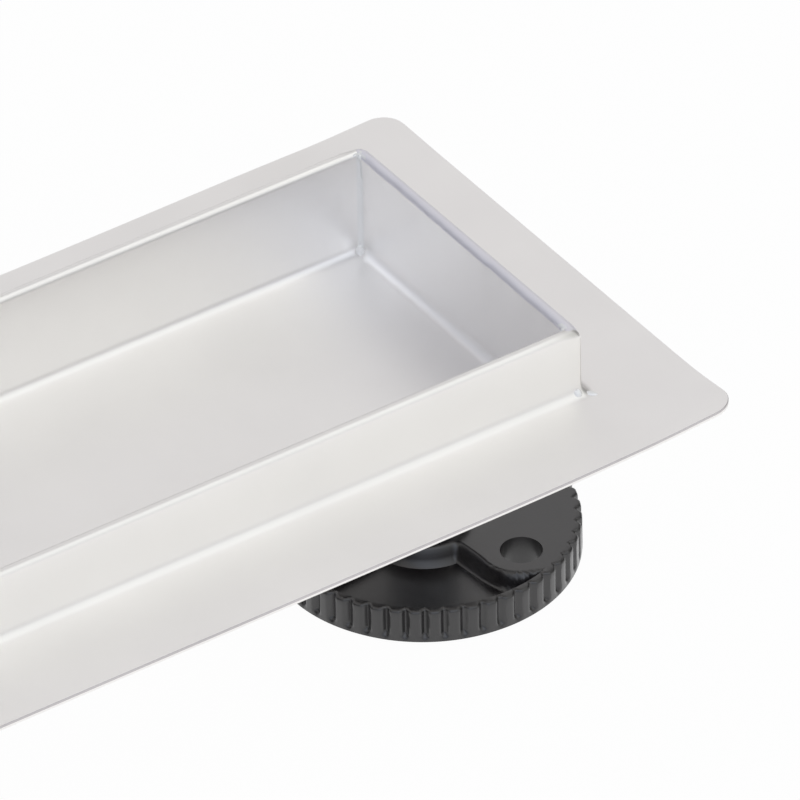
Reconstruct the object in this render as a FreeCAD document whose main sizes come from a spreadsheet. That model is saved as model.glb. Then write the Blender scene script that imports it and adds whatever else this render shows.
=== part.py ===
import FreeCAD, Part
import math
import os
import re

import Sketcher
from FreeCAD import Vector

# Linear floor drain for a tiled floor: a folded stainless channel with a bonding flange and a
# raised collar, two screw-adjusted feet and a low swivelling trap under its outlet.
# Millimetres. X runs along the channel, Z is up, and Z = 0 is the floor that the feet stand on.

# Driving dimensions, one plain number each
SIZES = {
    # channel, folded from one sheet
    "drain_height": 70.0,
    "sheet_thickness": 1.2,
    "rim_length": 500.0,
    "rim_width": 74.0,
    "rim_round": 1.1,
    "collar_height": 15.1,
    "collar_corner": 2.4,
    "collar_foot_bend": 1.2,
    "trough_depth": 23.4,
    "trough_corner": 2.2,
    "floor_bend": 2.0,
    "flange_side": 21.7,
    "flange_end": 21.0,
    "flange_corner": 5.0,
    # outlet tube welded under the channel
    "spigot_bore_radius": 24.0,
    "spigot_wall": 1.0,
    "spigot_length": 12.5,
    # foot bases
    "foot_inset": 11.7,
    "foot_radius": 30.5,
    "foot_height": 7.8,
    "foot_edge_round": 0.6,
    "foot_lip_height": 0.6,
    "foot_lip_step": 0.7,
    "grip_count": 50,
    "grip_depth": 0.9,
    "grip_mouth": 2.3,
    "grip_root": 1.2,
    "grip_turn": -1.9,
    "well_depth": 3.4,
    "well_edge_round": 0.8,
    "well_inner_radius": 10.5,
    "well_outer_radius": 28.2,
    "well_angle": -128.9,
    "hub_radius": 9.5,
    "hub_height": 9.6,
    "recess_count": 8,
    "recess_depth": 2.4,
    "recess_inner": 13.5,
    "recess_outer": 24.5,
    "recess_web": 1.8,
    "screw_hole_radius": 4.15,
    "screw_circle_radius": 21.8,
    "screw_angle": -65.5,
    "screw_boss_radius": 6.4,
    # M8 studs, nuts and washers
    "thread_radius": 4.0,
    "thread_play": 0.05,
    "hex_flats": 13.0,
    "hex_chamfer": 0.8,
    "hex_play": 0.15,
    "head_height": 5.3,
    "head_recess": 0.7,
    "stud_hole_play": 0.2,
    "nut_height": 6.5,
    "thin_nut_height": 4.0,
    "nut_seat_gap": 0.05,
    "washer_radius": 8.0,
    "washer_thickness": 1.6,
    "washer_play": 0.4,
    # free height of the screws, shared out below the height nut and above the stud
    "nut_gap_share": 0.25,
    "stud_gap_share": 0.2,
    # foot brackets, folded strip welded under the channel
    "bracket_thickness": 2.0,
    "bracket_inner_width": 32.0,
    "bracket_tab": 11.0,
    "bracket_inboard": 20.0,
    "bracket_outboard": 7.0,
    "bracket_bend": 1.0,
    # trap under the outlet
    "trap_radius": 44.0,
    "trap_wall": 2.5,
    "trap_floor_gap": 3.0,
    "trap_base_round": 5.0,
    "neck_top_gap": 1.0,
    "neck_height": 8.0,
    "ledge_play": 0.6,
    "seal_thickness": 2.2,
    "seal_height": 6.5,
    "seal_play": 0.05,
    "seal_lip": 1.2,
    "pipe_radius": 20.0,
    "pipe_wall": 2.0,
    "pipe_top_gap": 2.2,
    "pipe_root": 33.0,
    "pipe_root_thickening": 1.0,
    "pipe_stop": 47.0,
    "pipe_reach": 95.0,
    "pipe_chamfer": 1.5,
    "weir_rise": 2.8,
    "weir_window_height": 7.0,
    "weir_window_width": 28.0,
    # lift-out trap insert, its ring and the strainer on top of it
    "insert_bore_radius": 18.5,
    "insert_wall": 1.5,
    "insert_foot_gap": 5.5,
    "insert_flange_radius": 29.0,
    "insert_flange_thickness": 1.4,
    "insert_collar_play": 0.6,
    "insert_collar_height": 10.0,
    "insert_grip_width": 3.0,
    "insert_grip_height": 4.0,
    "ring_cord_radius": 1.2,
    "ring_play": 0.05,
    "ring_drop": 4.8,
    "strainer_radius": 27.0,
    "strainer_thickness": 0.8,
    "strainer_hole_radius": 2.1,
    "strainer_hole_pitch": 6.0,
    "knob_stem_radius": 2.0,
    "knob_head_radius": 3.6,
    "knob_height": 5.0,
    "knob_head_height": 1.6,
}

# Places that follow from the sizes
PLACES = {
    "rim_thickness": "2 * sheet_thickness",
    "flange_top": "drain_height - collar_height",
    "trough_floor": "drain_height - trough_depth",
    "trough_under": "trough_floor - sheet_thickness",
    "spigot_radius": "spigot_bore_radius + spigot_wall",
    "foot_place": "rim_length / 2 - foot_inset",
    "head_top": "head_recess + head_height",
    "base_nut_top": "hub_height + thin_nut_height",
    "lower_stack": "nut_height + nut_seat_gap + washer_thickness",
    "upper_stack": "washer_thickness + nut_seat_gap + thin_nut_height",
    "screw_room": "trough_under - base_nut_top - lower_stack - bracket_thickness - upper_stack",
    "height_nut_base": "base_nut_top + nut_gap_share * screw_room",
    "lower_washer_base": "height_nut_base + nut_height + nut_seat_gap",
    "bracket_plate_base": "lower_washer_base + washer_thickness",
    "upper_washer_base": "bracket_plate_base + bracket_thickness",
    "lock_nut_base": "upper_washer_base + washer_thickness + nut_seat_gap",
    "stud_top": "trough_under - stud_gap_share * screw_room",
    "hex_corner": "hex_flats / sqrt(3)",
    "neck_top": "trough_under - neck_top_gap",
    "deck_top": "neck_top - neck_height",
    "deck_under": "deck_top - trap_wall",
    "neck_bore": "spigot_radius + seal_thickness",
    "pipe_axis": "trough_under - pipe_top_gap - pipe_radius",
    "weir_base": "pipe_axis + weir_rise",
    "insert_base": "trap_floor_gap + trap_wall + insert_foot_gap",
    "collar_radius": "spigot_bore_radius - insert_collar_play",
    "ring_outer": "spigot_bore_radius - ring_play",
    "ring_middle": "ring_outer - ring_cord_radius",
    "ring_height": "trough_floor - ring_drop",
    "strainer_base": "trough_floor + insert_flange_thickness",
}


def formula(text):
    """Turn a formula in size and place names into one that reads the sheet's cells."""
    def cell(match):
        word = match.group(0)
        if word in PLACES:
            return "(" + formula(PLACES[word]) + ")"
        if word in SIZES:
            return "sizes." + word
        return word
    return re.sub(r"[a-z][a-z_]*", cell, text)


def make_sheet(doc):
    sheet = doc.addObject("Spreadsheet::Sheet", "sizes")
    for row, (name, number) in enumerate(SIZES.items(), start=1):
        sheet.set(f"A{row}", name)
        sheet.set(f"B{row}", str(number))
        sheet.setAlias(f"B{row}", name)
    doc.recompute()
    return sheet


def value(thing, text):
    return float(thing.evalExpression(formula(text)))


def bind(thing, path, text):
    thing.setExpression(path, formula(text))


def new_body(doc, name, x="0", z="0"):
    body = doc.addObject("PartDesign::Body", name)
    body.Label = name
    bind(body, "Placement.Base.x", x)
    bind(body, "Placement.Base.z", z)
    return body


def new_sketch(body, name, plane, offset="0", turn=None):
    """A sketch on one of the body's own origin planes, lifted by offset and turned about its normal."""
    sketch = body.newObject("Sketcher::SketchObject", name)
    support = [item for item in body.Origin.OriginFeatures if item.Role == plane][0]
    sketch.AttachmentSupport = (support, [""])
    sketch.MapMode = "FlatFace"
    if turn:
        axis = Vector(0, 0, 1)
        sketch.AttachmentOffset = FreeCAD.Placement(Vector(), FreeCAD.Rotation(axis, value(sketch, turn)))
        bind(sketch, "AttachmentOffset.Rotation.Angle", turn)
    bind(sketch, "AttachmentOffset.Base.z", offset)
    return sketch


def pin(sketch, kind, first, second, text):
    """Dimension from first to second, each a (geometry, point) pair."""
    rule = Sketcher.Constraint(kind, *first, *second, value(sketch, text))
    index = sketch.addConstraint(rule)
    bind(sketch, f"Constraints[{index}]", text)


def pin_point(sketch, geometry, point, x, y):
    origin = (-1, 1)
    pin(sketch, "DistanceX", origin, (geometry, point), x)
    pin(sketch, "DistanceY", origin, (geometry, point), y)


def draw_polygon(sketch, corners):
    spots = [Vector(value(sketch, x), value(sketch, y), 0) for x, y in corners]
    count = len(corners)
    for index in range(count):
        sketch.addGeometry(Part.LineSegment(spots[index], spots[(index + 1) % count]), False)
    for index, (x, y) in enumerate(corners):
        sketch.addConstraint(Sketcher.Constraint("Coincident", index, 2, (index + 1) % count, 1))
        pin_point(sketch, index, 1, x, y)


def draw_rectangle(sketch, left, right, bottom, top):
    draw_polygon(sketch, [(left, bottom), (right, bottom), (right, top), (left, top)])


def draw_centred_rectangle(sketch, width, height):
    draw_rectangle(sketch, f"-({width}) / 2", f"({width}) / 2", f"-({height}) / 2", f"({height}) / 2")


def draw_rounded_rectangle(sketch, width, height, radius):
    """A rectangle centred on the origin, its corners rounded by tangent arcs."""
    half_x, half_y = f"({width}) / 2", f"({height}) / 2"
    side_x, side_y = f"({half_x} - ({radius}))", f"({half_y} - ({radius}))"
    runs = [
        ((f"-{side_x}", f"-{half_y}"), (side_x, f"-{half_y}")),
        ((half_x, f"-{side_y}"), (half_x, side_y)),
        ((side_x, half_y), (f"-{side_x}", half_y)),
        ((f"-{half_x}", side_y), (f"-{half_x}", f"-{side_y}")),
    ]
    centres = [(1, -1), (1, 1), (-1, 1), (-1, -1)]
    for first, last in runs:
        spots = [Vector(value(sketch, x), value(sketch, y), 0) for x, y in (first, last)]
        line = sketch.addGeometry(Part.LineSegment(*spots), False)
        pin_point(sketch, line, 1, *first)
        pin_point(sketch, line, 2, *last)
    for number, (x_way, y_way) in enumerate(centres):
        centre = Vector(x_way * value(sketch, side_x), y_way * value(sketch, side_y), 0)
        corner = Part.Circle(centre, Vector(0, 0, 1), value(sketch, radius))
        start = math.radians(90 * number - 90)
        arc = sketch.addGeometry(Part.ArcOfCircle(corner, start, start + math.pi / 2), False)
        sketch.addConstraint(Sketcher.Constraint("Coincident", arc, 1, number, 2))
        sketch.addConstraint(Sketcher.Constraint("Coincident", arc, 2, (number + 1) % 4, 1))
        pin(sketch, "Radius", (arc,), (), radius)


def draw_circle(sketch, radius, x="0", y="0"):
    centre = Vector(value(sketch, x), value(sketch, y), 0)
    index = sketch.addGeometry(Part.Circle(centre, Vector(0, 0, 1), value(sketch, radius)), False)
    pin(sketch, "Radius", (index,), (), radius)
    pin_point(sketch, index, 3, x, y)


def draw_hexagon(sketch, flats):
    corner = f"({flats}) / sqrt(3)"
    half = f"({flats}) / 2"
    draw_polygon(sketch, [
        (corner, "0"), (f"{corner} / 2", half), (f"-{corner} / 2", half),
        (f"-{corner}", "0"), (f"-{corner} / 2", f"-{half}"), (f"{corner} / 2", f"-{half}"),
    ])


def draw_quarter_ring(sketch, inner, outer):
    """A quarter of a ring, centred on the sketch's own X axis."""
    low, high = math.radians(-45), math.radians(45)
    arcs = []
    for radius in (inner, outer):
        ring = Part.Circle(Vector(), Vector(0, 0, 1), value(sketch, radius))
        arcs.append(sketch.addGeometry(Part.ArcOfCircle(ring, low, high), False))
    for point, angle in ((1, low), (2, high)):
        way = Vector(math.cos(angle), math.sin(angle), 0)
        line = Part.LineSegment(way * value(sketch, inner), way * value(sketch, outer))
        index = sketch.addGeometry(line, False)
        sketch.addConstraint(Sketcher.Constraint("Coincident", index, 1, arcs[0], point))
        sketch.addConstraint(Sketcher.Constraint("Coincident", index, 2, arcs[1], point))
        sketch.addConstraint(Sketcher.Constraint("Angle", index, angle))
    for arc, radius in zip(arcs, (inner, outer)):
        sketch.addConstraint(Sketcher.Constraint("Coincident", arc, 3, -1, 1))
        pin(sketch, "Radius", (arc,), (), radius)


def pad(body, name, sketch, length, downwards=False):
    feature = body.newObject("PartDesign::Pad", name)
    feature.Profile = sketch
    feature.Reversed = downwards
    bind(feature, "Length", length)
    return feature


def pocket(body, name, sketch, length, along_normal=False):
    """Cut against the sketch's normal, or along it."""
    feature = body.newObject("PartDesign::Pocket", name)
    feature.Profile = sketch
    feature.Reversed = along_normal
    bind(feature, "Length", length)
    return feature


def turned(body, name, sketch, kind="Revolution"):
    """Turn a half profile round the body's Z axis, to add (Revolution) or cut (Groove)."""
    feature = body.newObject("PartDesign::" + kind, name)
    feature.Profile = sketch
    feature.ReferenceAxis = (sketch, ["V_Axis"])
    feature.Angle = 360
    return feature


def polar(body, name, feature, sketch, count):
    pattern = body.newObject("PartDesign::PolarPattern", name)
    pattern.Originals = [feature]
    pattern.Axis = (sketch, ["N_Axis"])
    pattern.Angle = 360
    bind(pattern, "Occurrences", count)
    body.Tip = pattern
    return pattern


def soften(body, name, wanted, radius, kind="Fillet"):
    """Round or chamfer the edges of the body so far that the wanted test picks."""
    base = body.Tip
    body.Document.recompute()
    edges = [f"Edge{n}" for n, edge in enumerate(base.Shape.Edges, start=1) if wanted(edge)]
    if not edges:
        raise RuntimeError(f"{body.Label}: no edge found for {name}")
    feature = body.newObject("PartDesign::" + kind, name)
    feature.Base = (base, edges)
    bind(feature, "Radius" if kind == "Fillet" else "Size", radius)
    body.Document.recompute()
    return feature


def ends_near(edge, test):
    return all(test(vertex.Point) for vertex in edge.Vertexes)


def near(number, target, slack=0.02):
    return abs(number - target) < slack


def make_channel_tray(doc):
    """Flange, hemmed collar and trough: one sheet, folded and welded at the corners."""
    body = new_body(doc, "channel_tray")
    levels = ("drain_height", "flange_top", "trough_floor", "trough_under")
    at = {name: value(body, name) for name in levels}

    flange = new_sketch(body, "flange_outline", "XY_Plane", "flange_top")
    draw_rounded_rectangle(
        flange, "rim_length + 2 * flange_end", "rim_width + 2 * flange_side", "flange_corner")
    pad(body, "flange", flange, "sheet_thickness", downwards=True)
    collar = new_sketch(body, "collar_outline", "XY_Plane", "flange_top")
    draw_rounded_rectangle(collar, "rim_length", "rim_width", "collar_corner")
    pad(body, "collar", collar, "collar_height")
    trough = new_sketch(body, "trough_outline", "XY_Plane", "trough_under")
    draw_rounded_rectangle(
        trough, "rim_length - 2 * sheet_thickness", "rim_width - 2 * sheet_thickness",
        "trough_corner + sheet_thickness")
    pad(body, "trough", trough, "flange_top - trough_under - sheet_thickness / 2")
    soften(body, "trough_outer_bend", lambda edge: ends_near(
        edge, lambda p: near(p.z, at["trough_under"])), "floor_bend + sheet_thickness")

    cavity = new_sketch(body, "cavity_outline", "XY_Plane", "drain_height")
    draw_rounded_rectangle(
        cavity, "rim_length - 2 * rim_thickness", "rim_width - 2 * rim_thickness", "trough_corner")
    pocket(body, "cavity", cavity, "trough_depth")
    soften(body, "cavity_bend", lambda edge: ends_near(
        edge, lambda p: near(p.z, at["trough_floor"])), "floor_bend")
    soften(body, "rim_rounding", lambda edge: ends_near(
        edge, lambda p: near(p.z, at["drain_height"])), "rim_round")
    half_x, half_y = value(body, "rim_length / 2"), value(body, "rim_width / 2")
    soften(body, "collar_foot", lambda edge: ends_near(
        edge, lambda p: near(p.z, at["flange_top"]) and abs(p.x) < half_x + 0.1 and abs(p.y) < half_y + 0.1),
        "collar_foot_bend")

    hole = new_sketch(body, "outlet_outline", "XY_Plane", "trough_floor")
    draw_circle(hole, "spigot_bore_radius")
    pocket(body, "outlet", hole, "2 * sheet_thickness")
    return body


def make_outlet_spigot(doc):
    """Stainless tube welded round the outlet hole."""
    body = new_body(doc, "outlet_spigot", z="trough_under - spigot_length")
    profile = new_sketch(body, "tube_profile", "XZ_Plane")
    draw_rectangle(profile, "spigot_bore_radius", "spigot_radius", "0", "spigot_length")
    turned(body, "tube", profile)
    return body


def make_foot_bracket(doc, name, side):
    """Strip folded to a hat section; its tabs are welded to the channel, its plate carries the stud."""
    body = new_body(doc, name, x=f"{side} * foot_place", z="bracket_plate_base")
    inner, outer = "bracket_inner_width / 2", "bracket_inner_width / 2 + bracket_thickness"
    tab = f"{outer} + bracket_tab"
    top, tab_under = "trough_under - bracket_plate_base", "trough_under - bracket_plate_base - bracket_thickness"
    start = "-bracket_inboard" if side > 0 else "-bracket_outboard"
    section = new_sketch(body, "hat_section", "YZ_Plane", start)
    draw_polygon(section, [
        (f"-({tab})", top), (f"-({inner})", top), (f"-({inner})", "bracket_thickness"),
        (inner, "bracket_thickness"), (inner, top), (tab, top),
        (tab, tab_under), (outer, tab_under), (outer, "0"),
        (f"-({outer})", "0"), (f"-({outer})", tab_under), (f"-({tab})", tab_under),
    ])
    pad(body, "strip", section, "bracket_inboard + bracket_outboard")

    def bend_edge(y, z):
        place = (value(body, y), value(body, z))
        return lambda edge: edge.BoundBox.YLength < 0.1 and ends_near(
            edge, lambda p: near(abs(p.y), place[0]) and near(p.z, place[1]))

    soften(body, "bends_inside_low", bend_edge(inner, "bracket_thickness"), "bracket_bend")
    soften(body, "bends_inside_high", bend_edge(outer, tab_under), "bracket_bend")
    soften(body, "bends_outside_low", bend_edge(outer, "0"), "bracket_bend + bracket_thickness")
    soften(body, "bends_outside_high", bend_edge(inner, top), "bracket_bend + bracket_thickness")

    hole = new_sketch(body, "stud_hole_outline", "XY_Plane", "bracket_thickness")
    draw_circle(hole, "thread_radius + washer_play")
    pocket(body, "stud_hole", hole, "bracket_thickness")
    return body


def make_foot_base(doc, name, side):
    """Round moulded base with a finger-grip edge, two sunk wells on top and webs below."""
    body = new_body(doc, name, x=f"{side} * foot_place")
    lip = "foot_radius - foot_lip_step"
    profile = new_sketch(body, "disc_profile", "XZ_Plane")
    draw_polygon(profile, [
        ("0", "0"), (lip, "0"), (lip, "foot_lip_height"), ("foot_radius", "foot_lip_height"),
        ("foot_radius", "foot_height - foot_edge_round"), ("foot_radius - foot_edge_round", "foot_height"),
        ("hub_radius", "foot_height"), ("hub_radius", "hub_height"), ("0", "hub_height"),
    ])
    turned(body, "disc", profile)

    well = new_sketch(body, "well_outline", "XY_Plane", "foot_height", turn="well_angle")
    draw_quarter_ring(well, "well_inner_radius", "well_outer_radius")
    well_cut = pocket(body, "well", well, "well_depth")
    polar(body, "wells", well_cut, well, "2")
    top, rim = value(body, "foot_height"), value(body, "well_outer_radius")
    soften(body, "well_shoulders", lambda edge: edge.Curve.TypeId == "Part::GeomLine" and ends_near(
        edge, lambda p: near(p.z, top) and math.hypot(p.x, p.y) < rim + 0.1), "well_edge_round")

    recess = new_sketch(body, "recess_outline", "XY_Plane", "0", turn="screw_angle")
    wall_near = "recess_inner * tan(180 deg / recess_count) - recess_web / 2"
    wall_far = "recess_outer * tan(180 deg / recess_count) - recess_web / 2"
    draw_polygon(recess, [
        ("recess_inner", f"-({wall_near})"), ("recess_outer", f"-({wall_far})"),
        ("recess_outer", wall_far), ("recess_inner", wall_near),
    ])
    recess_cut = pocket(body, "recess", recess, "recess_depth", along_normal=True)
    polar(body, "recesses", recess_cut, recess, "recess_count")

    bosses = new_sketch(body, "boss_outline", "XY_Plane", "0", turn="screw_angle")
    for place in ("screw_circle_radius", "-screw_circle_radius"):
        draw_circle(bosses, "screw_boss_radius", place)
    pad(body, "screw_bosses", bosses, "foot_height / 2")
    holes = new_sketch(body, "screw_hole_outline", "XY_Plane", "foot_height", turn="screw_angle")
    for place in ("screw_circle_radius", "-screw_circle_radius"):
        draw_circle(holes, "screw_hole_radius", place)
    pocket(body, "screw_holes", holes, "foot_height")

    socket = new_sketch(body, "socket_outline", "XY_Plane", "0")
    draw_hexagon(socket, "hex_flats + 2 * hex_play")
    pocket(body, "head_socket", socket, "head_top", along_normal=True)
    bore = new_sketch(body, "stud_bore_outline", "XY_Plane", "hub_height")
    draw_circle(bore, "thread_radius + stud_hole_play")
    pocket(body, "stud_bore", bore, "hub_height")

    grip = new_sketch(body, "grip_outline", "XY_Plane", "foot_height", turn="grip_turn")
    beyond, root = "foot_radius + grip_depth / 2", "foot_radius - grip_depth"
    draw_polygon(grip, [
        (root, "-grip_root / 2"), (beyond, "-grip_mouth / 2"), (beyond, "grip_mouth / 2"), (root, "grip_root / 2"),
    ])
    grip_cut = pocket(body, "grip", grip, "foot_height - foot_lip_height")
    polar(body, "grips", grip_cut, grip, "grip_count")
    return body


def chamfer_hexagon(body, name, level, direction):
    """Turn the corners of a hexagon off at one end, as on a made nut or bolt head."""
    cone = new_sketch(body, name + "_profile", "XZ_Plane")
    draw_polygon(cone, [
        ("hex_flats / 2", level), ("hex_corner + hex_chamfer", level),
        ("hex_corner + hex_chamfer", f"{level} {direction} hex_chamfer"),
    ])
    turned(body, name, cone, "Groove")


def make_stud(doc, name, side):
    """Hexagon-head stud, held in the base's socket."""
    body = new_body(doc, name, x=f"{side} * foot_place", z="head_recess")
    head = new_sketch(body, "head_outline", "XY_Plane", "0")
    draw_hexagon(head, "hex_flats")
    pad(body, "head", head, "head_height")
    chamfer_hexagon(body, "head_chamfer", "0", "+")
    shank = new_sketch(body, "shank_profile", "XZ_Plane")
    length = "stud_top - head_recess"
    draw_polygon(shank, [
        ("0", "head_height / 2"), ("thread_radius", "head_height / 2"),
        ("thread_radius", f"{length} - hex_chamfer"), ("thread_radius - hex_chamfer", length), ("0", length),
    ])
    turned(body, "shank", shank)
    return body


def make_nut(doc, name, side, base, height):
    body = new_body(doc, name, x=f"{side} * foot_place", z=base)
    outline = new_sketch(body, "nut_outline", "XY_Plane", "0")
    draw_hexagon(outline, "hex_flats")
    draw_circle(outline, "thread_radius + thread_play")
    pad(body, "hexagon", outline, height)
    chamfer_hexagon(body, "lower_chamfer", "0", "+")
    chamfer_hexagon(body, "upper_chamfer", height, "-")
    return body


def make_washer(doc, name, side, base):
    body = new_body(doc, name, x=f"{side} * foot_place", z=base)
    outline = new_sketch(body, "washer_outline", "XY_Plane", "0")
    draw_circle(outline, "washer_radius")
    draw_circle(outline, "thread_radius + washer_play")
    pad(body, "disc", outline, "washer_thickness")
    return body


def make_trap_body(doc):
    """Moulded cup with a neck for the seal, a weir wall and a plain outlet pipe."""
    body = new_body(doc, "trap_body")
    neck_outer = "neck_bore + trap_wall"
    outer = new_sketch(body, "cup_profile", "XZ_Plane")
    draw_polygon(outer, [
        ("0", "trap_floor_gap"), ("trap_radius", "trap_floor_gap"), ("trap_radius", "deck_top"),
        (neck_outer, "deck_top"), (neck_outer, "neck_top"), ("0", "neck_top"),
    ])
    turned(body, "cup", outer)
    base = value(body, "trap_floor_gap")
    soften(body, "cup_base_round", lambda edge: ends_near(edge, lambda p: near(p.z, base)), "trap_base_round")

    pipe = new_sketch(body, "pipe_outline", "YZ_Plane", "pipe_root")
    draw_circle(pipe, "pipe_radius", "0", "pipe_axis")
    pad(body, "pipe", pipe, "pipe_reach - pipe_root")
    root = new_sketch(body, "pipe_root_outline", "YZ_Plane", "pipe_root")
    draw_circle(root, "pipe_radius + pipe_root_thickening", "0", "pipe_axis")
    pad(body, "thick_pipe_root", root, "pipe_stop - pipe_root")
    reach = value(body, "pipe_reach")
    soften(body, "pipe_mouth", lambda edge: ends_near(edge, lambda p: near(p.x, reach)), "pipe_chamfer", "Chamfer")

    inner = new_sketch(body, "cavity_profile", "XZ_Plane")
    draw_polygon(inner, [
        ("0", "trap_floor_gap + trap_wall"), ("trap_radius - trap_wall", "trap_floor_gap + trap_wall"),
        ("trap_radius - trap_wall", "deck_under"), ("spigot_radius + ledge_play", "deck_under"),
        ("spigot_radius + ledge_play", "deck_top"), ("neck_bore", "deck_top"), ("neck_bore", "neck_top"),
        ("0", "neck_top"),
    ])
    turned(body, "cup_cavity", inner, "Groove")

    bore = new_sketch(body, "pipe_bore_outline", "YZ_Plane", "pipe_reach")
    draw_circle(bore, "pipe_radius - pipe_wall", "0", "pipe_axis")
    pocket(body, "pipe_bore", bore, "pipe_reach - trap_radius")
    window = new_sketch(body, "window_outline", "YZ_Plane", "trap_radius + pipe_wall")
    draw_rectangle(window, "-weir_window_width / 2", "weir_window_width / 2",
                   "weir_base", "weir_base + weir_window_height")
    pocket(body, "weir_window", window, "pipe_wall + trap_radius / 2")
    return body


def make_trap_seal(doc):
    """Rubber ring with two lips, in the trap's neck."""
    body = new_body(doc, "trap_seal", z="deck_top")
    inner, hollow = "spigot_radius + seal_play", "spigot_radius + seal_thickness / 2"
    profile = new_sketch(body, "seal_profile", "XZ_Plane")
    draw_polygon(profile, [
        ("neck_bore", "0"), ("neck_bore", "seal_height"), (inner, "seal_height"),
        (inner, "seal_height - seal_lip"), (hollow, "seal_height - 2 * seal_lip"),
        (hollow, "2 * seal_lip"), (inner, "seal_lip"), (inner, "0"),
    ])
    turned(body, "ring", profile)
    return body


def make_trap_insert(doc):
    """Lift-out dip tube: its flange lies on the channel's floor, its collar carries the sealing ring."""
    body = new_body(doc, "trap_insert")
    tube = "insert_bore_radius + insert_wall"
    collar_base = "trough_floor - insert_collar_height"
    flange_top = "trough_floor + insert_flange_thickness"
    groove_root = "ring_middle - ring_cord_radius"
    profile = new_sketch(body, "insert_profile", "XZ_Plane")
    draw_polygon(profile, [
        ("insert_bore_radius", "insert_base"), (tube, "insert_base"), (tube, collar_base),
        ("collar_radius", collar_base), ("collar_radius", "ring_height - ring_cord_radius"),
        (groove_root, "ring_height - ring_cord_radius"), (groove_root, "ring_height + ring_cord_radius"),
        ("collar_radius", "ring_height + ring_cord_radius"), ("collar_radius", "trough_floor"),
        ("insert_flange_radius", "trough_floor"), ("insert_flange_radius", flange_top),
        ("insert_bore_radius", flange_top),
    ])
    turned(body, "tube", profile)
    grip = new_sketch(body, "grip_bar_outline", "XY_Plane", "trough_floor")
    draw_centred_rectangle(grip, f"2 * ({tube})", "insert_grip_width")
    pad(body, "grip_bar", grip, "insert_grip_height", downwards=True)
    return body


def make_insert_ring(doc):
    body = new_body(doc, "insert_ring", z="ring_height")
    section = new_sketch(body, "ring_section", "XZ_Plane")
    draw_circle(section, "ring_cord_radius", "ring_middle")
    turned(body, "ring", section)
    return body


def make_strainer(doc):
    """Perforated stainless disc with a lifting knob, lying on the insert's flange."""
    body = new_body(doc, "hair_strainer", z="strainer_base")
    disc = new_sketch(body, "disc_outline", "XY_Plane", "0")
    draw_circle(disc, "strainer_radius")
    pad(body, "disc", disc, "strainer_thickness")
    for row in (1, 2, 3):
        hole = new_sketch(body, f"hole_outline_{row}", "XY_Plane", "strainer_thickness")
        draw_circle(hole, "strainer_hole_radius", f"{row} * strainer_hole_pitch + strainer_hole_radius / 2")
        cut = pocket(body, f"hole_{row}", hole, "strainer_thickness")
        polar(body, f"holes_{row}", cut, hole, f"{6 * row}")
    knob = new_sketch(body, "knob_profile", "XZ_Plane")
    draw_polygon(knob, [
        ("0", "0"), ("knob_stem_radius", "0"), ("knob_stem_radius", "knob_height - knob_head_height"),
        ("knob_head_radius", "knob_height - knob_head_height"), ("knob_head_radius", "knob_height"),
        ("0", "knob_height"),
    ])
    turned(body, "knob", knob)
    return body


def make_parts(doc):
    parts = [make_channel_tray(doc), make_outlet_spigot(doc)]
    for end, side in (("left", -1), ("right", 1)):
        parts += [
            make_foot_bracket(doc, f"foot_bracket_{end}", side),
            make_foot_base(doc, f"foot_base_{end}", side),
            make_stud(doc, f"foot_stud_{end}", side),
            make_nut(doc, f"base_nut_{end}", side, "hub_height", "thin_nut_height"),
            make_nut(doc, f"height_nut_{end}", side, "height_nut_base", "nut_height"),
            make_washer(doc, f"lower_washer_{end}", side, "lower_washer_base"),
            make_washer(doc, f"upper_washer_{end}", side, "upper_washer_base"),
            make_nut(doc, f"lock_nut_{end}", side, "lock_nut_base", "thin_nut_height"),
        ]
    parts += [
        make_trap_body(doc), make_trap_seal(doc), make_trap_insert(doc), make_insert_ring(doc), make_strainer(doc),
    ]
    return parts


def check_document(doc, parts):
    for item in doc.Objects:
        if "Invalid" in item.State or "Error" in item.State:
            raise RuntimeError(f"{item.Label} did not compute: {item.State}")
    for body in parts:
        shape = body.Shape
        if shape.isNull() or not shape.isValid() or len(shape.Solids) != 1:
            raise RuntimeError(f"{body.Label} is not one valid solid")


document = FreeCAD.newDocument("floor_drain")
make_sheet(document)
drain_parts = make_parts(document)
document.recompute()
check_document(document, drain_parts)
os.makedirs("parts", exist_ok=True)
for part in drain_parts:
    part.Shape.exportStep(f"parts/{part.Label}.step")
    box = part.Shape.BoundBox
    print(f"{part.Label:22s} volume {part.Shape.Volume:10.1f}  "
          f"x {box.XMin:8.2f} {box.XMax:8.2f}  y {box.YMin:7.2f} {box.YMax:7.2f}  z {box.ZMin:6.2f} {box.ZMax:6.2f}")
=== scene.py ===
import math

import bmesh
import bpy
from mathutils import Matrix, Vector, noise


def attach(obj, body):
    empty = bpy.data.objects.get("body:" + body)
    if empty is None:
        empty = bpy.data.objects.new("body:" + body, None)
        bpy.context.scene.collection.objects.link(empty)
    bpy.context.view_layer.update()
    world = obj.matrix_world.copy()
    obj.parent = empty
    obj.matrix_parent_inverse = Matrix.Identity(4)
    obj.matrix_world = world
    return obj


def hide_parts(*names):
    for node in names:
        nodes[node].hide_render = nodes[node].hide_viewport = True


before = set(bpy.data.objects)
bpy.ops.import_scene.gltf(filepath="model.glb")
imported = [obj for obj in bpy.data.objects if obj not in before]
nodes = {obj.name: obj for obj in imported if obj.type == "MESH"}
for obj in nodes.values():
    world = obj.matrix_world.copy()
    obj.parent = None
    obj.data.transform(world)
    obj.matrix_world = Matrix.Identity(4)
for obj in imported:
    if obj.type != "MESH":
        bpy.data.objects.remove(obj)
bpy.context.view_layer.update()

# Channel tray
# One stainless sheet, folded to a bonding flange, a hemmed collar and a trough, and welded at the
# corners. The heat of the welds leaves the thin flange slightly out of flat near its corners.


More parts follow.
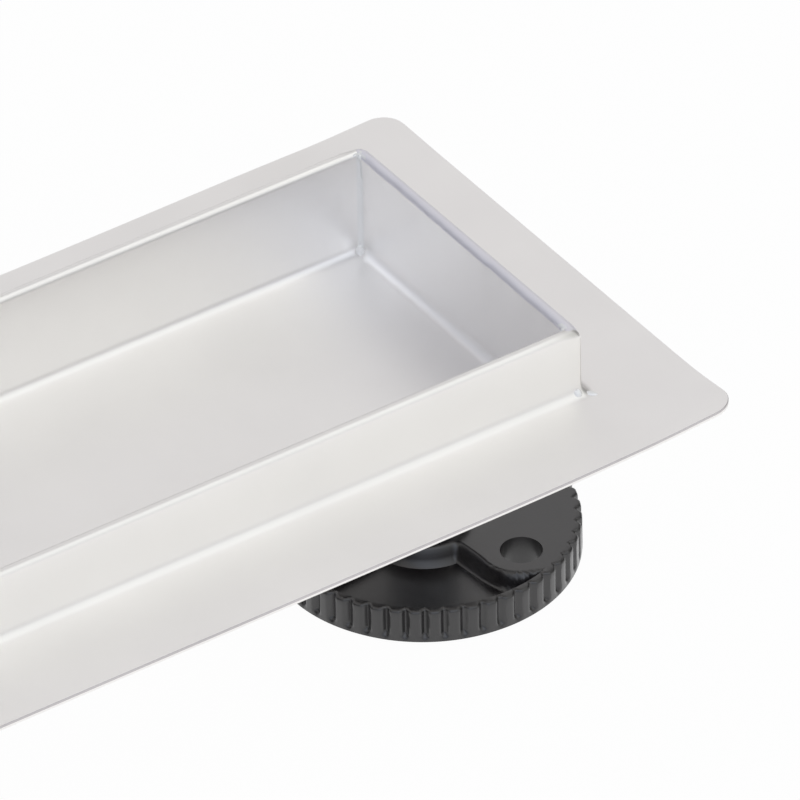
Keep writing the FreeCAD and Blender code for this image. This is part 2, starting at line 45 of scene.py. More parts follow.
def linear(code):
    """The linear colour of an sRGB hex code."""
    parts = [int(code[start:start + 2], 16) / 255 for start in (0, 2, 4)]
    return tuple(
        part / 12.92 if part <= 0.04045 else ((part + 0.055) / 1.055) ** 2.4 for part in parts) + (1,)


def add_node(tree, kind, inputs=None, **settings):
    """Add a node. Inputs go by socket name or number, and are a value or another node's output."""
    node = tree.nodes.new("ShaderNode" + kind)
    for name, setting in settings.items():
        setattr(node, name, setting)
    for name, given in (inputs or {}).items():
        if isinstance(given, bpy.types.NodeSocket):
            tree.links.new(given, node.inputs[name])
        else:
            node.inputs[name].default_value = given
    return node


def satin_sheet(name, pale, deep, roughness):
    """Cold-rolled stainless with a dull satin finish.

    It gives broad, soft reflections with no clear image, a grain of a few tenths of a millimetre,
    drawn out along the channel, and faint clouds where the sheet was wiped and pickled. The real
    grain is several times finer, too fine for a picture of this size.
    """
    material = bpy.data.materials.new(name)
    material.use_nodes = True
    tree = material.node_tree
    shader = tree.nodes["Principled BSDF"]
    cloud_size, grain_size, grain_depth, gloss_play = 0.02, 0.0004, 0.00002, 0.03
    place = add_node(tree, "TexCoord").outputs["Object"]
    drawn = add_node(tree, "Mapping", {"Vector": place, "Scale": (0.2, 1.0, 1.0)}).outputs[0]
    clouds = add_node(
        tree, "TexNoise", {"Vector": place, "Scale": 1 / cloud_size, "Detail": 3.0}).outputs["Fac"]
    grain = add_node(
        tree, "TexNoise", {"Vector": drawn, "Scale": 1 / grain_size, "Detail": 2.0}).outputs["Fac"]
    tone = add_node(
        tree, "MixRGB", {"Fac": clouds, "Color1": linear(pale), "Color2": linear(deep)}).outputs[0]
    spread = add_node(tree, "MapRange", {
        "Value": clouds, "To Min": roughness - gloss_play, "To Max": roughness + gloss_play})
    bump = add_node(tree, "Bump", {"Height": grain, "Strength": 0.15, "Distance": grain_depth})
    tree.links.new(tone, shader.inputs["Base Color"])
    tree.links.new(spread.outputs[0], shader.inputs["Roughness"])
    tree.links.new(bump.outputs[0], shader.inputs["Normal"])
    shader.inputs["Metallic"].default_value = 1.0
    return material


def rounded_ring(half_x, half_y, radius, height):
    """Points round a rounded rectangle, anticlockwise, the same number for every size."""
    corner_steps, side_steps = 8, (48, 110, 48, 110)
    corners = ((1, -1, -90), (1, 1, 0), (-1, 1, 90), (-1, -1, 180))

    def on_arc(corner, angle):
        return Vector((corner[0] * (half_x - radius) + radius * math.cos(math.radians(angle)),
                       corner[1] * (half_y - radius) + radius * math.sin(math.radians(angle)), height))

    points = []
    for number, corner in enumerate(corners):
        points += [
            on_arc(corner, corner[2] + 90 * step / corner_steps) for step in range(corner_steps + 1)]
        after = corners[(number + 1) % 4]
        begin, end = points[-1], on_arc(after, after[2])
        points += [begin.lerp(end, step / side_steps[number]) for step in range(1, side_steps[number])]
    return points


def arc(middle, height, radius, first, last, steps=7):
    """Points of a fold's arc in section: distance out from the collar's face, and height."""
    angles = [math.radians(first + (last - first) * step / steps) for step in range(steps + 1)]
    return [(middle + radius * math.cos(angle), height + radius * math.sin(angle)) for angle in angles]


def skin(name, rings, material, closed=True, sharp=40):
    """A mesh piece through rings of points, joined up end to end when it is closed."""
    mesh = bpy.data.meshes.new(name)
    shape = bmesh.new()
    rows = [[shape.verts.new(point) for point in ring] for ring in rings]
    pairs = list(zip(rows, rows[1:])) + ([(rows[-1], rows[0])] if closed else [])
    for row, other in pairs:
        for number in range(len(row)):
            beyond = (number + 1) % len(row)
            shape.faces.new((row[number], row[beyond], other[beyond], other[number]))
    if not closed:
        shape.faces.new(rows[0][::-1])
        shape.faces.new(rows[-1])
    bmesh.ops.recalc_face_normals(shape, faces=shape.faces)
    shape.to_mesh(mesh)
    shape.free()
    mesh.shade_smooth()
    mesh.set_sharp_from_angle(angle=math.radians(sharp))
    mesh.materials.append(material)
    piece = bpy.data.objects.new(name, mesh)
    bpy.context.collection.objects.link(piece)
    return piece


RIM_X, RIM_Y, RIM_TOP = 0.250, 0.037, 0.070
FLANGE_X, FLANGE_Y, FLANGE_TOP = 0.271, 0.0587, 0.0549
FLOOR_TOP, FLOOR_UNDER = 0.0466, 0.0454
flange_sheet, flange_corner, burr, shear_line = 0.0011, 0.005, 0.00012, 0.0006
collar_corner, trough_corner = 0.0006, 0.0009
hem, rim_round = 0.0024, 0.0012
foot_bend, floor_bend, sheet = 0.0024, 0.0022, 0.0012
outlet_radius = 0.024
# Rows of points between the bends, by height on the collar and inner wall and by reach on the floor.
flange_rows = (0.08, 0.2, 0.35, 0.5, 0.65, 0.8, 0.92)
collar_rows, wall_rows, floor_rows = (0.0600, 0.0645), (0.064, 0.056), (0.004, 0.010)

flange_under = FLANGE_TOP - flange_sheet
flange_edge = [
    (FLANGE_X - burr, FLANGE_Y - burr, flange_corner - burr, flange_under),
    (FLANGE_X, FLANGE_Y, flange_corner, flange_under + burr),
    (FLANGE_X, FLANGE_Y, flange_corner, flange_under + shear_line),
    (FLANGE_X, FLANGE_Y, flange_corner, FLANGE_TOP - burr),
    (FLANGE_X - burr, FLANGE_Y - burr, flange_corner - burr, FLANGE_TOP),
]
collar_foot = (RIM_X + foot_bend, RIM_Y + foot_bend, collar_corner + foot_bend, FLANGE_TOP)
flange_face = []
for share in flange_rows:
    flange_face.append(tuple(a + (b - a) * share for a, b in zip(flange_edge[-1], collar_foot)))
section = arc(foot_bend, FLANGE_TOP + foot_bend, foot_bend, 270, 180)
section += [(0.0, height) for height in collar_rows]
section += arc(-rim_round, RIM_TOP - rim_round, rim_round, 0, 180, 13)
section += [(-hem, height) for height in wall_rows]
section += arc(-hem - floor_bend, FLOOR_TOP + floor_bend, floor_bend, 0, -90)
section += [(-hem - reach, FLOOR_TOP) for reach in floor_rows]
sizes = []
for out, height in section:
    inward = min(1.0, max(0.0, -out / hem))
    corner = collar_corner + max(out, 0.0) + (trough_corner - collar_corner) * inward
    sizes.append((RIM_X + out, RIM_Y + out, corner, height))
tray_rings = [rounded_ring(*size) for size in flange_edge + flange_face + sizes]

under_start = len(tray_rings)
pipe_directions = [Vector((point.x, point.y, 0)).normalized() for point in tray_rings[-1]]
for height in (FLOOR_TOP, FLOOR_UNDER):
    tray_rings.append([way * outlet_radius + Vector((0, 0, height)) for way in pipe_directions])
under_bend = floor_bend + sheet
for out, height in arc(-sheet - under_bend, FLOOR_UNDER + under_bend, under_bend, -90, 0):
    tray_rings.append(rounded_ring(RIM_X + out, RIM_Y + out, trough_corner + sheet, height))
tray_rings.append(rounded_ring(RIM_X - sheet, RIM_Y - sheet, trough_corner + sheet, flange_under))

# The end flanges tip up a little, and the corners more, most at the near right one. Each lift has
# its middle, its reach along and across, and its height.
end_tip, tip_curve, lift_curve = 0.0009, 1.3, 1.6
flange_lifts = (
    (FLANGE_X, -FLANGE_Y, 0.030, 0.010, 0.00115), (0.240, FLANGE_Y, 0.032, 0.012, 0.0004),
    (-FLANGE_X, FLANGE_Y, 0.030, 0.012, 0.0007), (-0.262, -FLANGE_Y, 0.035, 0.012, 0.0005),
    (-0.03, FLANGE_Y, 0.080, 0.02, -0.0003), (-0.10, -FLANGE_Y, 0.070, 0.02, 0.0002),
)
# Grinding leaves the short rims a little low and wavy, and rounds the rim's corners off. Each wave
# has how closely it follows itself along the rim, its own place in the noise, and its share.
rim_wave, rim_ground, corner_ground, corner_reach = 0.00035, 0.00015, 0.0013, 0.0032
rim_waves, wave_across = ((240, 3.7, 1.0), (620, 8.1, 0.6)), 5
ground_from, ledge_width, same_place = 0.0665, 0.0008, 0.0001
# The end walls lean out a little towards the far side.
end_taper = 0.00045
for number, ring in enumerate(tray_rings):
    for point in ring:
        beyond_x = max(0.0, abs(point.x) - RIM_X - foot_bend) / (FLANGE_X - RIM_X - foot_bend)
        beyond_y = max(0.0, abs(point.y) - RIM_Y - foot_bend) / (FLANGE_Y - RIM_Y - foot_bend)
        beyond = min(1.0, math.hypot(beyond_x, beyond_y))
        for lift_x, lift_y, along, across, lift in flange_lifts:
            gap = math.hypot((point.x - lift_x) / along, (point.y - lift_y) / across)
            point.z += beyond ** lift_curve * lift * math.exp(-gap * gap)
        point.z += end_tip * min(1.0, beyond_x) ** tip_curve
        inside = RIM_X - abs(point.x)
        on_end_wall = rim_round < inside < hem + floor_rows[-1] and number < under_start
        if on_end_wall and point.z > FLOOR_UNDER + same_place:
            point.x += math.copysign(end_taper * (0.5 + 0.5 * point.y / RIM_Y), point.x)
        topmost = max(0.0, (point.z - ground_from) / (RIM_TOP - ground_from))
        if rim_round < inside < hem + same_place and topmost:
            wave = sum(
                share * noise.noise(Vector((point.x * wave_across, point.y * wave_along, depth)))
                for wave_along, depth, share in rim_waves)
            ledge = min(1.0, (inside - rim_round) / ledge_width) * topmost
            point.x -= math.copysign(ledge * rim_wave * (1.0 + wave), point.x)
        to_corner = math.hypot(RIM_X - abs(point.x), RIM_Y - abs(point.y))
        if inside < hem:
            point.z -= rim_ground * topmost
        if topmost and to_corner < corner_reach:
            point.z -= corner_ground * topmost * (1 - to_corner / corner_reach) ** 2

sheet_steel = satin_sheet("satin stainless sheet", "FCFAF8", "F8F6F4", 0.42)
tray = skin("tray_sheet", tray_rings, sheet_steel)
# The shear leaves the upper half of the cut edge rough and dull. Its grey colour is painted shade as
# well, for the darker reflection that the edge shows.
tray.data.materials.append(satin_sheet("sheared stainless edge with painted shade", "DAD6D7", "CFCBCC", 0.6))
# The short rims are belt-ground, so they scatter the light more than the sheet does. Their faint lilac
# cast is a painted reflection of the cool back of the room.
belt_ground = satin_sheet("belt-ground stainless rim, painted cool tint", "FAF8FC", "F2F0F4", 0.65)
belt_ground.node_tree.nodes["Principled BSDF"].inputs["Metallic"].default_value = 0.9
tray.data.materials.append(belt_ground)
# The welds in the corners are ground and brushed, so they are matte. Their whiter, part-diffuse colour
# is painted highlight, standing in for the bright lines that the corners catch.
ground_weld = satin_sheet("hand-ground weld bead with painted highlight", "FDFCFA", "F6F5F3", 0.5)
ground_weld.node_tree.nodes["Principled BSDF"].inputs["Metallic"].default_value = 0.25
tray.data.materials.append(ground_weld)
sheared_rows, ground_play, ground_depth = (2, 3), 0.0006, 0.0013
bead_play, bead_reach, bead_foot = 0.0003, 0.0014, 0.0008
points_round = len(tray_rings[0])
for face in tray.data.polygons:
    row, across, along, height = face.index // points_round, *map(abs, face.center)
    # The cut edge's upper rows take the edge material, whose grey is partly painted shade.
    if row in sheared_rows:
        face.material_index = 1
    # The short rims' tops take the ground rim material, whose faint lilac cast is painted reflection.
    on_short_rim = RIM_X - hem - ground_play < across < RIM_X and along < RIM_Y - rim_round
    if on_short_rim and height > RIM_TOP - ground_depth:
        face.material_index = 2
    # The trough's upright corners take the weld material, whose white is painted highlight.
    gaps = (RIM_X - hem + end_taper - across, RIM_Y - hem - along)
    in_corner = row < under_start and min(gaps) > -bead_play and max(gaps) < bead_reach
    if in_corner and FLOOR_TOP + bead_foot < height < RIM_TOP - same_place:
        face.material_index = 3
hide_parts("channel_tray")
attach(tray, "channel")


def dress(material, *names):
    """Give CAD nodes their material."""
    for name in names:
        nodes[name].data.materials.clear()
        nodes[name].data.materials.append(material)


# Corner welds
# The four corners of the trough and of the collar's foot are welded with a thin bead and ground by
# hand, so the beads are a little uneven and end in small lumps. Their bright white is painted highlight.


def lump(name, place, size, turn, unevenness, seed):
    """A lump of weld metal, ground unevenly."""
    coarseness = 1.6
    mesh = bpy.data.meshes.new(name)
    shape = bmesh.new()
    bmesh.ops.create_icosphere(shape, subdivisions=4, radius=1.0)
    for vertex in shape.verts:
        wander = 1 + unevenness * noise.noise(vertex.co * coarseness + Vector((seed, 0, 0)))
        flat = Vector((vertex.co.x * size[0], vertex.co.y * size[1], vertex.co.z * size[2])) * wander
        vertex.co = Vector(place) + Matrix.Rotation(turn, 3, "Z") @ flat
    shape.to_mesh(mesh)
    shape.free()
    mesh.shade_smooth()
    # The weld material's white is painted highlight.
    mesh.materials.append(ground_weld)
    piece = bpy.data.objects.new(name, mesh)
    bpy.context.collection.objects.link(piece)
    return piece


inner_x, inner_y, weld_unevenness = RIM_X - hem, RIM_Y - hem, 0.12
for x_way, y_way in ((1, 1), (1, -1), (-1, 1), (-1, -1)):
    corner = f"{'right' if x_way > 0 else 'left'}_{'far' if y_way > 0 else 'near'}"
    mitre = math.atan2(y_way, x_way)
    taper = end_taper * (0.5 + 0.5 * y_way)
    # Each lump's middle, for the far right corner, and its half sizes.
    places = {
        "trough_floor": (
            (inner_x + taper - 0.0011, inner_y - 0.0011, FLOOR_TOP + 0.0008), (0.0010, 0.0009, 0.0010)),
        "rim_inner": (
            (inner_x + taper - 0.0002, inner_y - 0.0002, RIM_TOP - 0.0011), (0.0006, 0.0006, 0.0007)),
        "rim_side": ((inner_x - 0.0006, inner_y + 0.0005, RIM_TOP - 0.0007), (0.0006, 0.0006, 0.0004)),
        "rim_end": ((RIM_X - 0.0012, RIM_Y - 0.0037, RIM_TOP - 0.0006), (0.0008, 0.0006, 0.0003)),
        "collar_foot": ((RIM_X - 0.0014, RIM_Y + 0.0004, FLANGE_TOP + 0.0006), (0.0009, 0.0008, 0.0010)),
        "collar_mitre": ((RIM_X + 0.0010, RIM_Y + 0.0010, FLANGE_TOP - 0.0001), (0.0016, 0.0006, 0.0005)),
    }
    for seed, (stem, ((x, y, z), size)) in enumerate(places.items()):
        place = (x_way * x, y_way * y, z)
        weld = lump(f"{stem}_weld_{corner}", place, size, mitre, weld_unevenness, seed + mitre)
        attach(weld, "channel")

# Outlet spigot and foot brackets
# A tube and two folded strips of the same satin sheet, welded under the tray.
ENDS = (("left", -1), ("right", 1))
dress(sheet_steel, "outlet_spigot", *(f"foot_bracket_{end}" for end, side in ENDS))

# Hair strainer
# A punched stainless disc with a turned knob, lying loose on the trap insert's flange.
dress(satin_sheet("tumbled stainless strainer", "DAD9D7", "CFCECD", 0.28), "hair_strainer")

# Trap insert and its ring
# The insert is moulded grey polypropylene, lifted out for cleaning; a nitrile ring seals its collar.


def moulded(name, base, roughness, speckle_size, depth):
    """Moulded plastic or rubber.

    It gives a fine spark-eroded texture, and a tone and gloss that vary a little over a centimetre.
    The texture is coarser than the real one's tenth of a millimetre, so that it still shows.
    """
    flow_size, tone_play, gloss_play = 1 / 120, 0.15, 0.05
    material = bpy.data.materials.new(name)
    material.use_nodes = True
    tree = material.node_tree
    shader = tree.nodes["Principled BSDF"]
    place = add_node(tree, "TexCoord").outputs["Object"]
    speckle = add_node(
        tree, "TexNoise", {"Vector": place, "Scale": 1 / speckle_size, "Detail": 3.0}).outputs["Fac"]
    flow = add_node(
        tree, "TexNoise", {"Vector": place, "Scale": 1 / flow_size, "Detail": 2.0}).outputs["Fac"]
    value = add_node(tree, "MapRange", {
        "Value": flow, "To Min": 1 - tone_play, "To Max": 1 + tone_play})
    tone = add_node(tree, "HueSaturation", {"Color": linear(base), "Value": value.outputs[0]})
    gloss = add_node(tree, "MapRange", {
        "Value": flow, "To Min": roughness - gloss_play, "To Max": roughness + gloss_play})
    bump = add_node(tree, "Bump", {"Height": speckle, "Strength": 0.25, "Distance": depth})
    tree.links.new(tone.outputs[0], shader.inputs["Base Color"])
    tree.links.new(gloss.outputs[0], shader.inputs["Roughness"])
    tree.links.new(bump.outputs[0], shader.inputs["Normal"])
    return material


dress(moulded("moulded grey polypropylene", "8C8F92", 0.42, 0.0006, 0.00004), "trap_insert")
dress(moulded("nitrile rubber", "1C1C1D", 0.6, 0.0005, 0.00004), "insert_ring", "trap_seal")

# Trap body
# The cup under the outlet is moulded black polypropylene with a fine eroded surface.
dress(moulded("moulded black polypropylene", "232324", 0.48, 0.0006, 0.00005), "trap_body")

# Foot bases
# Glass-filled polyamide discs, moulded black with a finger-grip edge; screws hold them to the floor.
# The resin-rich skin gives a soft second sheen over the nearly black moulding.
black_polyamide = moulded("glass-filled black polyamide", "161315", 0.33, 0.0007, 0.00005)
resin_skin = black_polyamide.node_tree.nodes["Principled BSDF"].inputs
resin_skin["Coat Weight"].default_value = 0.8
resin_skin["Coat Roughness"].default_value = 0.28
FOOT_X = 0.2383
foot_radius, foot_top, hub_radius, hub_top = 0.0305, 0.0078, 0.0095, 0.0096
bore, well_depth, well_inner, well_outer = 0.0042, 0.0038, 0.0098, 0.0289
well_angles, well_half_turn, screw_angles = (-128.9, 51.1), 45, (-65.5, 114.5)
screw_circle, screw_hole, boss_radius = 0.0218, 0.00415, 0.0072
well_ramp, boss_ramp, sharp_ramp = 0.0022, 0.0016, 0.0004
# Past the screw's boss a well reaches further round, by widening degrees.
widening, widening_from, widening_ramp = 18.4, 0.020, 0.002
rib_count, groove_depth, groove_turn, groove_share = 50, 0.0010, -1.9, 0.30
plain_band, band_ramp = 0.0016, 0.0012
pocket_depth, pocket_inner, pocket_outer, pocket_ramp = 0.0024, 0.0133, 0.0247, 0.0003
web_half, screw_solid = 0.0009, 0.0064
socket_flat, socket_depth, cut_below, cut_above = 0.00665, 0.0060, -0.001, 0.0090


def eased(share):
    """A share from 0 to 1 that starts and ends gently."""
    share = min(1.0, max(0.0, share))
    return share * share * (3 - 2 * share)


def turned_apart(angle, other):
    """Degrees between two angles."""
    return abs((angle - other + 180) % 360 - 180)


def near_screw(radius, angle):
    """Distance to the nearer screw hole's middle."""
    gaps = [math.radians(turned_apart(angle, screw)) for screw in screw_angles]
    return min(
        math.sqrt(radius ** 2 + screw_circle ** 2 - 2 * radius * screw_circle * math.cos(gap))
        for gap in gaps)


def disc_top(radius, angle):
    """Height of the disc's top: two sunk wells with ramped sides, round a raised hub."""
    past_screw = widening * eased((radius - widening_from) / widening_ramp)
    turns = [(angle - well + 180) % 360 - 180 for well in well_angles]
    into_well = max(min(well_half_turn + turn, well_half_turn + past_screw - turn) for turn in turns)
    off_boss = eased((near_screw(radius, angle) - boss_radius) / boss_ramp)
    well = eased(radius * math.radians(into_well) / well_ramp) * off_boss
    well *= eased((radius - well_inner) / well_ramp) * eased((well_outer - radius) / sharp_ramp)
    hub = eased((hub_radius + sharp_ramp / 2 - radius) / sharp_ramp)
    return foot_top - well_depth * well + (hub_top - foot_top) * hub


def disc_edge(angle, height):
    """Radius of the grip edge: rounded ribs, which fade into a plain band at the bottom."""
    phase = (angle - groove_turn) * rib_count / 360
    groove = eased(1 - abs(phase - round(phase)) / groove_share)
    return foot_radius - groove_depth * groove * eased((height - plain_band) / band_ramp + 0.5)


def disc_bottom(radius, angle):
    """Height of the underside: eight pockets between webs, solid round the screw holes."""
    webs = min(turned_apart(angle, screw_angles[0] + 22.5 + 45 * number) for number in range(8))
    pocket = eased((radius * math.sin(math.radians(webs)) - web_half) / pocket_ramp)
    pocket *= eased((radius - pocket_inner) / pocket_ramp) * eased((pocket_outer - radius) / pocket_ramp)
    return pocket_depth * pocket * eased((near_screw(radius, angle) - screw_solid) / pocket_ramp)


# The rings of points lie closest where the disc's height changes.
disc_steps = 500
disc_angles = [360 * step / disc_steps for step in range(disc_steps)]
top_radii = [bore, 0.0090, 0.0093, 0.0095, 0.0097, 0.0100, 0.0102, 0.0104, 0.0107, 0.0110, 0.0113]
top_radii += [0.012 + 0.0009 * step for step in range(18)]
top_radii += [0.0280, 0.0284, 0.0285, 0.0286, 0.0287, 0.0289]
bottom_radii = [0.0270, 0.0250, 0.0247, 0.0245, 0.0243] + [0.0235 - 0.0009 * step for step in range(11)]
bottom_radii += [0.0138, 0.0136, 0.0134, 0.0132, 0.010, bore]


def disc_ring(radius_at, height_at):
    """Points round the disc, from a radius for each angle and a height for each place."""
    points = []
    for angle in disc_angles:
        radius = radius_at(angle)
        turn = math.radians(angle)
        points.append(Vector((radius * math.cos(turn), radius * math.sin(turn), height_at(radius, angle))))
    return points


disc_rings = [disc_ring(lambda angle: radius, disc_top) for radius in top_radii]
for inset, drop in ((0.0007, 0.0), (0.0004, 0.00008), (0.0001, 0.0003), (0.0, 0.0007)):
    disc_rings.append(disc_ring(
        lambda angle: disc_edge(angle, foot_top) - inset, lambda radius, angle: foot_top - drop))
for height in (0.0060, 0.0040, 0.0024, 0.0019, 0.0016, 0.0013, 0.0006):
    disc_rings.append(disc_ring(lambda angle: disc_edge(angle, height), lambda radius, angle: height))
for radius, height in ((0.0299, 0.0005), (0.0298, 0.0)):
    disc_rings.append(disc_ring(lambda angle: radius, lambda spot, angle: height))
disc_rings += [disc_ring(lambda angle: radius, disc_bottom) for radius in bottom_radii]


def prism(name, middle, radius, low, high, sides):
    """An upright prism, to cut a hole with."""
    rings = []
    for height in (low, high):
        turns = [math.radians(360 * step / sides) for step in range(sides)]
        rings.append([
            middle + Vector((radius * math.cos(turn), radius * math.sin(turn), height)) for turn in turns])
    return skin(name, rings, black_polyamide, closed=False)


for end, side in ENDS:
    middle = Vector((side * FOOT_X, 0, 0))
    placed_rings = [[point + middle for point in ring] for ring in disc_rings]
    disc = skin(f"foot_disc_{end}", placed_rings, black_polyamide)
    socket = socket_flat / math.cos(math.radians(30))
    cutters = [prism("socket_cutter", middle, socket, cut_below, socket_depth, 6)]
    for angle in screw_angles:
        turn = math.radians(angle)
        hole = middle + screw_circle * Vector((math.cos(turn), math.sin(turn), 0))
        cutters.append(prism("screw_cutter", hole, screw_hole, cut_below, cut_above, 64))
    for cutter in cutters:
        cut = disc.modifiers.new("cut", "BOOLEAN")
        cut.operation = "DIFFERENCE"
        cut.solver = "EXACT"
        cut.object = cutter
    depsgraph = bpy.context.evaluated_depsgraph_get()
    carved = bpy.data.meshes.new_from_object(disc.evaluated_get(depsgraph))
    disc.modifiers.clear()
    disc.data = carved
    carved.set_sharp_from_angle(angle=math.radians(40))
    for cutter in cutters:
        bpy.data.objects.remove(cutter)
    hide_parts(f"foot_base_{end}")
    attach(disc, f"foot_{end}")

# Studs, nuts and washers
# M8 cold-formed steel with a bright zinc plate; each stud's head sits in its base's socket. The
# plate gives small bluish glints, with a mottle of about a millimetre.
zinc = bpy.data.materials.new("bright zinc plate")
zinc.use_nodes = True
zinc_tree = zinc.node_tree
zinc_shader = zinc_tree.nodes["Principled BSDF"]
zinc_shader.inputs["Metallic"].default_value = 1.0
zinc_place = add_node(zinc_tree, "TexCoord").outputs["Object"]
zinc_mottle = add_node(
    zinc_tree, "TexNoise", {"Vector": zinc_place, "Scale": 900.0, "Detail": 3.0}).outputs["Fac"]
zinc_tone = add_node(zinc_tree, "MixRGB", {
    "Fac": zinc_mottle, "Color1": linear("C9CCD0"), "Color2": linear("B4B8BE")}).outputs[0]
zinc_gloss = add_node(
    zinc_tree, "MapRange", {"Value": zinc_mottle, "To Min": 0.22, "To Max": 0.34}).outputs[0]
zinc_tree.links.new(zinc_tone, zinc_shader.inputs["Base Color"])
zinc_tree.links.new(zinc_gloss, zinc_shader.inputs["Roughness"])
for end, side in ENDS:
    dress(zinc, *(f"{stem}_{end}" for stem in (
        "foot_stud", "base_nut", "height_nut", "lock_nut", "lower_washer", "upper_washer")))

# Screw threads
# The rolled M8 thread of each stud, 1.25 mm pitch, from the head in the base up to the stud's end.
pitch, crest, root, thread_chamfer = 0.00125, 0.00398, 0.00334, 0.0008
thread_low, thread_high, turn_steps, pitch_steps = 0.0058, 0.0422, 32, 10
thread_rows = int((thread_high - thread_low) / pitch * pitch_steps)
hexagon = 0.0065 / math.cos(math.radians(30))
head_profile = ((0.0062, 0.0007), (hexagon, 0.0013), (hexagon, 0.0058), (0.0035, 0.0060))
for end, side in ENDS:
    rings = []
    for row in range(thread_rows + 1):
        height = thread_low + (thread_high - thread_low) * row / thread_rows
        ring = []
        for step in range(turn_steps):
            phase = (height / pitch - step / turn_steps) % 1
            flank = min(1.0, max(0.0, abs(phase - 0.5) * 2.5 - 0.2))
            radius = root + (crest - root) * (1 - flank)
            radius = min(radius, crest - thread_chamfer + max(0.0, thread_high - height))
            angle = 2 * math.pi * step / turn_steps
            ring.append(Vector((
                side * FOOT_X + radius * math.cos(angle), radius * math.sin(angle), height)))
        rings.append(ring)
    thread = skin(f"stud_thread_{end}", rings, zinc, closed=False, sharp=70)
    head_rings = []
    for size, height in head_profile:
        turns = [math.radians(60 * step) for step in range(6)]
        head_rings.append([
            Vector((side * FOOT_X + size * math.cos(turn), size * math.sin(turn), height))
            for turn in turns])
    head = skin(f"stud_head_{end}", head_rings, zinc, closed=False, sharp=20)
    head.parent = thread
    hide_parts(f"foot_stud_{end}")
    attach(thread, f"foot_{end}")

# Studio table
# A plain white table. Seen by the camera or in the metal it is nearly pure white, with a soft shadow.
table_half, table_glow = 6.0, 0.97
table_mesh = bpy.data.meshes.new("table")
table_mesh.from_pydata([
    (-table_half, -table_half, 0), (table_half, -table_half, 0),
    (table_half, table_half, 0), (-table_half, table_half, 0)], [], [(0, 1, 2, 3)])
table = bpy.data.objects.new("table", table_mesh)
bpy.context.collection.objects.link(table)
table_white = bpy.data.materials.new("white studio table")
table_white.use_nodes = True
table_tree = table_white.node_tree
table_shader = table_tree.nodes["Principled BSDF"]
table_shader.inputs["Base Color"].default_value = linear("F6F5F4")
table_shader.inputs["Roughness"].default_value = 0.9
ray = add_node(table_tree, "LightPath").outputs
seen = add_node(table_tree, "Math", {
    0: ray["Is Camera Ray"], 1: ray["Is Glossy Ray"]}, operation="MAXIMUM").outputs[0]
glow = add_node(table_tree, "Emission", {"Color": (1, 1, 1, 1), "Strength": 1.0}).outputs[0]
lifted = add_node(
    table_tree, "MixShader", {"Fac": table_glow, 1: table_shader.outputs[0], 2: glow}).outputs[0]
shown = add_node(
    table_tree, "MixShader", {"Fac": seen, 1: table_shader.outputs[0], 2: lifted}).outputs[0]
table_tree.links.new(shown, table_tree.nodes["Material Output"].inputs["Surface"])
table_mesh.materials.append(table_white)

# Studio light
# A white room with soft bright sides, strongest and cooler at the front left and dimmest at the back
# left, and a wide softbox overhead.
world = bpy.data.worlds.new("studio")
bpy.context.scene.world = world
world.use_nodes = True
world_tree = world.node_tree
background = world_tree.nodes["Background"]
ray = add_node(world_tree, "LightPath").outputs
way = add_node(world_tree, "TexCoord").outputs["Generated"]
# Each patch has the way that it lies, how narrow it is, and its strength in red, green and blue.
room_patches = (
    ((0.445, 0.665, 0.60), 5, (0.84, 0.83, 0.83)),
    ((-0.445, 0.665, 0.60), 5, (0.54, 0.55, 0.60)),
    ((0.445, -0.665, 0.60), 5, (0.83, 0.84, 0.79)),
    ((-0.445, -0.665, 0.60), 5, (1.26, 1.34, 1.50)),
    ((0.445, -0.87, 0.20), 8, (0.25, 0.24, 0.26)),
)
room = (0.0, 0.0, 0.0)
for towards, narrowness, strength in room_patches:
    facing = add_node(
        world_tree, "VectorMath", {0: way, 1: towards}, operation="DOT_PRODUCT").outputs["Value"]
    facing = add_node(world_tree, "Math", {0: facing, 1: 0.0}, operation="MAXIMUM").outputs[0]
    share = add_node(world_tree, "Math", {0: facing, 1: narrowness}, operation="POWER").outputs[0]
    patch = add_node(
        world_tree, "VectorMath", {0: strength, "Scale": share}, operation="SCALE").outputs[0]
    room = add_node(world_tree, "VectorMath", {0: room, 1: patch}, operation="ADD").outputs[0]
world_tree.links.new(room, background.inputs["Color"])
backdrop = add_node(world_tree, "Background", {"Color": (1, 1, 1, 1), "Strength": 1.0}).outputs[0]
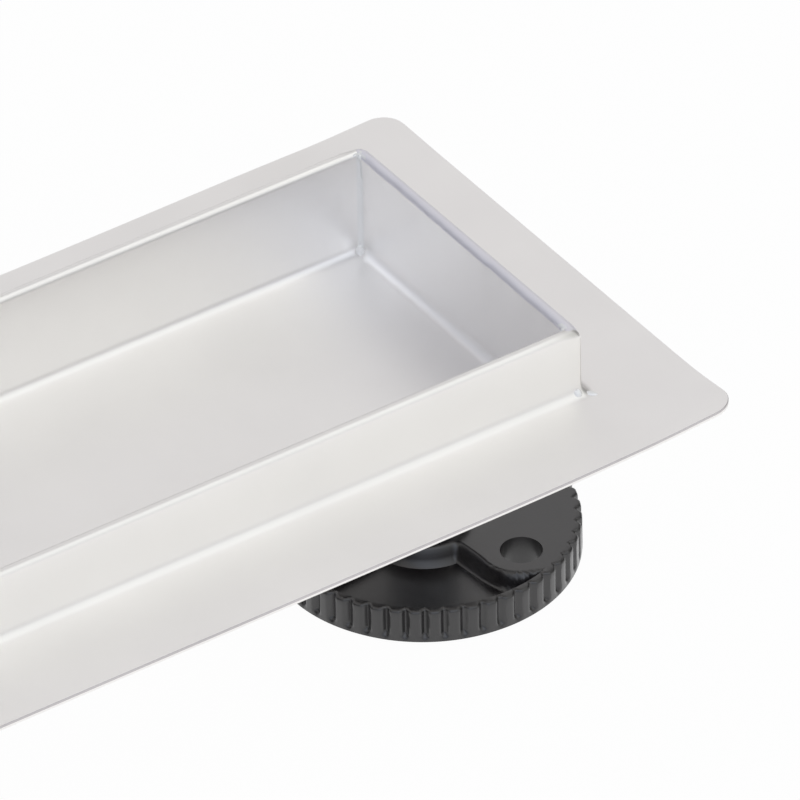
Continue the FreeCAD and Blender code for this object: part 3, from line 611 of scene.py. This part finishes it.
surround = add_node(world_tree, "MixShader", {
    "Fac": ray["Is Camera Ray"], 1: background.outputs[0], 2: backdrop}).outputs[0]
world_tree.links.new(surround, world_tree.nodes["World Output"].inputs["Surface"])

softbox = bpy.data.lights.new("overhead softbox", "AREA")
softbox.shape = "RECTANGLE"
softbox.size, softbox.size_y, softbox.energy = 1.2, 0.9, 2.5
overhead_lamp = bpy.data.objects.new("overhead softbox", softbox)
bpy.context.collection.objects.link(overhead_lamp)
lamp_aim = Vector((0.2, 0.0, 0.05))
overhead_lamp.location = lamp_aim + Vector((0.80, -0.30, 1.6))
overhead_lamp.rotation_euler = (lamp_aim - overhead_lamp.location).to_track_quat("-Z", "Y").to_euler()

# Camera
# It looks at the right-hand end from the front left and above. The photograph is 800 pixels
# square; the near right-hand corner of the collar's rim is at rim_corner_pixel in it.
IMAGE_SIZE = 800
rim_corner = Vector((0.250, -0.037, 0.070))
rim_corner_pixel = (581.9, 328.9)
azimuth, elevation, roll = math.radians(33.83), math.radians(36.89), math.radians(-0.98)
distance = 2.744
pixels_per_metre = 5291.0
focal_pixels = pixels_per_metre * distance
forward = Vector((
    math.sin(azimuth) * math.cos(elevation), math.cos(azimuth) * math.cos(elevation), -math.sin(elevation)))
level_right = Vector((math.cos(azimuth), -math.sin(azimuth), 0))
level_up = level_right.cross(forward)
right = math.cos(roll) * level_right + math.sin(roll) * level_up
up = math.cos(roll) * level_up - math.sin(roll) * level_right
across = (rim_corner_pixel[0] - IMAGE_SIZE / 2) / pixels_per_metre
above = (IMAGE_SIZE / 2 - rim_corner_pixel[1]) / pixels_per_metre
camera = bpy.data.objects.new("camera", bpy.data.cameras.new("camera"))
bpy.context.collection.objects.link(camera)
place = rim_corner - forward * distance - right * across - up * above
turn = Matrix((right, up, -forward)).transposed().to_4x4()
camera.matrix_world = Matrix.Translation(place) @ turn
camera.data.sensor_width = 36.0
camera.data.lens = focal_pixels / IMAGE_SIZE * camera.data.sensor_width
camera.data.clip_end = 50.0
bpy.context.scene.camera = camera
bpy.context.scene.view_settings.view_transform = "Standard"
